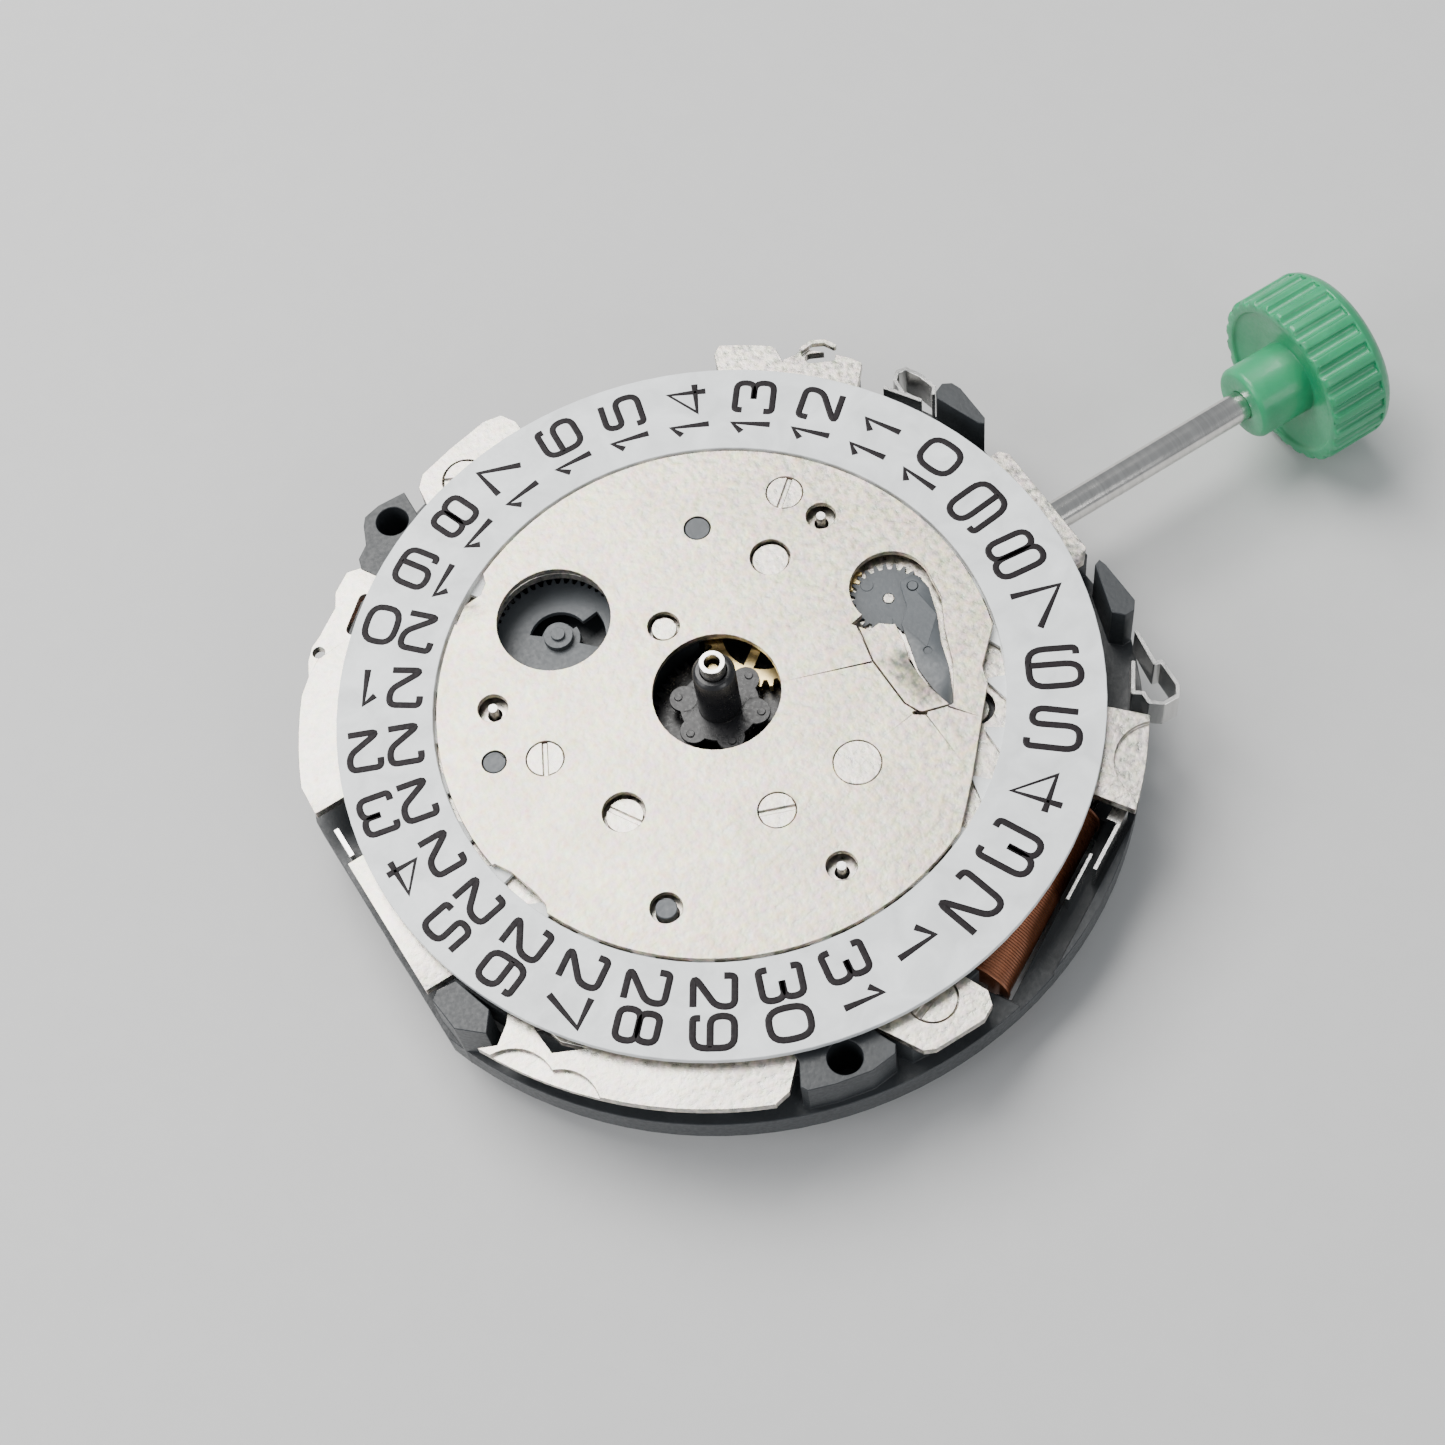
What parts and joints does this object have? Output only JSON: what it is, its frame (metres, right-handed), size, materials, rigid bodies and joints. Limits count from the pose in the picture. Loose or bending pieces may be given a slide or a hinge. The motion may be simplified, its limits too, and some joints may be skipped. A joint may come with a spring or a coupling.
{
  "type": "quartz chronograph watch movement",
  "caption": "Quartz chronograph movement with a day-of-month ring, three small-hand arbors and a setting stem in a round holding knob.",
  "frame": {"origin": "centre of the hand arbors on the flat back face", "axes": "+X along the setting stem towards the knob, +Z along the hand arbors towards the dial side"},
  "size_m": [0.0331, 0.0238, 0.0061],
  "materials": {
    "black_plastic": "black moulded plastic",
    "board": "green circuit board",
    "brass": "turned brass",
    "casing_plastic": "dark grey-black moulded plastic",
    "cell": "bright nickel",
    "chip": "black moulding",
    "contact": "gilt spring strip",
    "copper": "varnished copper wire",
    "date_plate": "fine-grained matt nickel",
    "date_ring": "pale grey moulded ring with dark numerals",
    "green_knob": "green moulded plastic",
    "grey_plastic": "dark grey moulded plastic",
    "magnet": "sintered magnet",
    "nickel_plate": "fine-grained matt nickel",
    "soft_iron": "annealed iron alloy",
    "steel": "polished steel"
  },
  "bodies": {
    "case": {"module_body": "casing_plastic", "main_plate": "nickel_plate", "date_plate": "date_plate", "date_plate_screws": "steel", "main_plate_screws": "steel", "plate_posts": "nickel_plate", "locating_pegs": "grey_plastic", "time_stator": "soft_iron", "time_core": "soft_iron", "time_winding": "copper", "chrono_stator": "soft_iron", "chrono_core": "soft_iron", "chrono_winding": "copper", "counter_stator": "soft_iron", "counter_core": "soft_iron", "counter_winding": "copper", "coil_screws": "steel", "bridge_rivets": "steel", "train_bridge": "nickel_plate", "circuit_board": "board", "controller_chip": "chip", "quartz_can": "steel", "button_cell": "cell", "cell_strap": "contact", "cell_spring": "contact", "rear_cover": "steel", "rear_cover_screws": "steel", "side_contact": "steel"},
    "cannon": {"cannon_pinion": "steel"},
    "minute_wheel": {"minute_wheel": "steel"},
    "hour_wheel": {"hour_wheel": "black_plastic"},
    "day_idler": {"day_idler": "brass"},
    "day_wheel": {"day_wheel": "steel"},
    "date_idler": {"date_idler": "brass"},
    "date_wheel": {"date_wheel": "grey_plastic"},
    "small_seconds_wheel": {"small_seconds_wheel": "steel"},
    "time_idler": {"time_idler": "brass"},
    "time_rotor": {"time_rotor": "magnet"},
    "third_wheel": {"third_wheel": "brass"},
    "centre_wheel": {"centre_wheel": "brass"},
    "chrono_seconds_wheel": {"chrono_seconds_wheel": "brass"},
    "chrono_idler": {"chrono_idler": "brass"},
    "chrono_rotor": {"chrono_rotor": "magnet"},
    "counter_wheel": {"counter_wheel": "steel"},
    "counter_idler": {"counter_idler": "grey_plastic"},
    "counter_rotor": {"counter_rotor": "magnet"},
    "date_ring": {"date_ring": "date_ring"},
    "date_finger": {"date_finger": "grey_plastic"},
    "date_jumper": {"date_jumper": "grey_plastic"},
    "yoke": {"yoke": "steel"},
    "setting_wheel": {"setting_wheel": "steel"},
    "setting_pinion": {"setting_pinion": "steel"},
    "stem": {"setting_stem": "steel", "setting_knob": "green_knob"},
    "setting_lever": {"setting_lever": "steel"},
    "start_lever": {"start_lever": "steel"},
    "reset_lever": {"reset_lever": "steel"}
  },
  "joints": [
    {"name": "minute_hand_turn", "type": "hinge", "parent": "case", "child": "cannon", "pos_m": [0, 0, 0.0026], "axis": [0, 0, 1], "continuous": true},
    {"name": "minute_wheel_turn", "type": "hinge", "parent": "case", "child": "minute_wheel", "pos_m": [0.0012, -0.00208, 0.0025], "axis": [0, 0, 1], "continuous": true},
    {"name": "hour_hand_turn", "type": "hinge", "parent": "case", "child": "hour_wheel", "pos_m": [0, 0, 0.0029], "axis": [0, 0, 1], "continuous": true},
    {"name": "day_idler_turn", "type": "hinge", "parent": "case", "child": "day_idler", "pos_m": [0.00229, 0.00133, 0.0032], "axis": [0, 0, 1], "continuous": true},
    {"name": "day_wheel_turn", "type": "hinge", "parent": "case", "child": "day_wheel", "pos_m": [0.00546, 0.00315, 0.0032], "axis": [0, 0, 1], "continuous": true},
    {"name": "date_idler_turn", "type": "hinge", "parent": "case", "child": "date_idler", "pos_m": [0.00494, 0.00136, 0.0033], "axis": [0, 0, 1], "continuous": true},
    {"name": "date_wheel_turn", "type": "hinge", "parent": "case", "child": "date_wheel", "pos_m": [0.00565, -0.00005, 0.0039], "axis": [0, 0, 1], "continuous": true},
    {"name": "small_seconds_turn", "type": "hinge", "parent": "case", "child": "small_seconds_wheel", "pos_m": [0, -0.0063, 0.0007], "axis": [0, 0, 1], "continuous": true},
    {"name": "time_idler_turn", "type": "hinge", "parent": "case", "child": "time_idler", "pos_m": [0.00206, -0.00588, 0.0013], "axis": [0, 0, 1], "continuous": true},
    {"name": "time_rotor_turn", "type": "hinge", "parent": "case", "child": "time_rotor", "pos_m": [0.0019, -0.00756, 0.0013], "axis": [0, 0, 1], "continuous": true},
    {"name": "third_wheel_turn", "type": "hinge", "parent": "case", "child": "third_wheel", "pos_m": [0.00053, -0.00329, 0.001], "axis": [0, 0, 1], "continuous": true},
    {"name": "centre_wheel_turn", "type": "hinge", "parent": "case", "child": "centre_wheel", "pos_m": [0, 0, 0.0015], "axis": [0, 0, 1], "continuous": true},
    {"name": "chrono_seconds_turn", "type": "hinge", "parent": "case", "child": "chrono_seconds_wheel", "pos_m": [0, 0, 0.0007], "axis": [0, 0, 1], "continuous": true},
    {"name": "chrono_idler_turn", "type": "hinge", "parent": "case", "child": "chrono_idler", "pos_m": [0.00191, 0.00272, 0.001], "axis": [0, 0, 1], "continuous": true},
    {"name": "chrono_rotor_turn", "type": "hinge", "parent": "case", "child": "chrono_rotor", "pos_m": [0.00275, 0.00418, 0.001], "axis": [0, 0, 1], "continuous": true},
    {"name": "counter_turn", "type": "hinge", "parent": "case", "child": "counter_wheel", "pos_m": [-0.00546, 0.00315, 0.0026], "axis": [0, 0, 1], "continuous": true},
    {"name": "counter_idler_turn", "type": "hinge", "parent": "case", "child": "counter_idler", "pos_m": [-0.00262, 0.00462, 0.003], "axis": [0, 0, 1], "continuous": true},
    {"name": "counter_rotor_turn", "type": "hinge", "parent": "case", "child": "counter_rotor", "pos_m": [-0.00338, 0.0067, 0.003], "axis": [0, 0, 1], "continuous": true},
    {"name": "date_ring_turn", "type": "hinge", "parent": "case", "child": "date_ring", "pos_m": [0, 0, 0.004], "axis": [0, 0, 1], "continuous": true},
    {"name": "date_finger_turn", "type": "hinge", "parent": "date_wheel", "child": "date_finger", "pos_m": [0.00639, -0.00015, 0.004], "axis": [0, 0, 1], "continuous": true},
    {"name": "date_jumper_swing", "type": "hinge", "parent": "case", "child": "date_jumper", "pos_m": [-0.00571, -0.00266, 0.0039], "axis": [0, 0, 1], "range_deg": [0, 4], "stiffness_Nm_per_rad": 0.00001},
    {"name": "yoke_swing", "type": "hinge", "parent": "case", "child": "yoke", "pos_m": [0.0012, -0.00208, 0.003], "axis": [0, 0, 1], "range_deg": [0, 9]},
    {"name": "setting_wheel_turn", "type": "hinge", "parent": "yoke", "child": "setting_wheel", "pos_m": [0.00437, -0.00163, 0.0025], "axis": [0, 0, 1], "continuous": true},
    {"name": "stem_turn", "type": "hinge", "parent": "case", "child": "setting_pinion", "pos_m": [0.006, 0, 0.00285], "axis": [1, 0, 0], "continuous": true},
    {"name": "stem_pull", "type": "slide", "parent": "setting_pinion", "child": "stem", "axis": [1, 0, 0], "range_m": [0, 0.0008]},
    {"name": "setting_lever_swing", "type": "hinge", "parent": "case", "child": "setting_lever", "pos_m": [0.0081, -0.00175, 0.0034], "axis": [0, 0, 1], "range_deg": [-26.2, 0]},
    {"name": "start_lever_press", "type": "hinge", "parent": "case", "child": "start_lever", "pos_m": [0.0096, 0.0061, 0.003], "axis": [0, 0, 1], "range_deg": [-4, 0], "stiffness_Nm_per_rad": 0.00001},
    {"name": "reset_lever_press", "type": "hinge", "parent": "case", "child": "reset_lever", "pos_m": [0.00965, -0.0062, 0.003], "axis": [0, 0, 1], "range_deg": [0, 4], "stiffness_Nm_per_rad": 0.00001}
  ],
  "couplings": [
    {"joint": "minute_wheel_turn", "follows": "minute_hand_turn", "ratio": -0.33333},
    {"joint": "hour_hand_turn", "follows": "minute_hand_turn", "ratio": 0.083333},
    {"joint": "day_idler_turn", "follows": "minute_hand_turn", "ratio": -0.050505},
    {"joint": "day_wheel_turn", "follows": "minute_hand_turn", "ratio": 0.041667},
    {"joint": "date_idler_turn", "follows": "minute_hand_turn", "ratio": 0.083333},
    {"joint": "date_wheel_turn", "follows": "minute_hand_turn", "ratio": -0.041667},
    {"joint": "date_finger_turn", "follows": "minute_hand_turn", "ratio": 0.041667},
    {"joint": "setting_wheel_turn", "follows": "minute_hand_turn", "ratio": 0.42857},
    {"joint": "time_idler_turn", "follows": "small_seconds_turn", "ratio": -5},
    {"joint": "time_rotor_turn", "follows": "small_seconds_turn", "ratio": 30},
    {"joint": "third_wheel_turn", "follows": "small_seconds_turn", "ratio": -0.13333},
    {"joint": "centre_wheel_turn", "follows": "small_seconds_turn", "ratio": 0.016667},
    {"joint": "chrono_idler_turn", "follows": "chrono_seconds_turn", "ratio": -6},
    {"joint": "chrono_rotor_turn", "follows": "chrono_seconds_turn", "ratio": 30},
    {"joint": "counter_idler_turn", "follows": "counter_turn", "ratio": -5},
    {"joint": "counter_rotor_turn", "follows": "counter_turn", "ratio": 30},
    {"joint": "setting_lever_swing", "follows": "stem_pull", "rad_per_m": -571.4},
    {"joint": "yoke_swing", "follows": "stem_pull", "rad_per_m": 196.3}
  ]
}
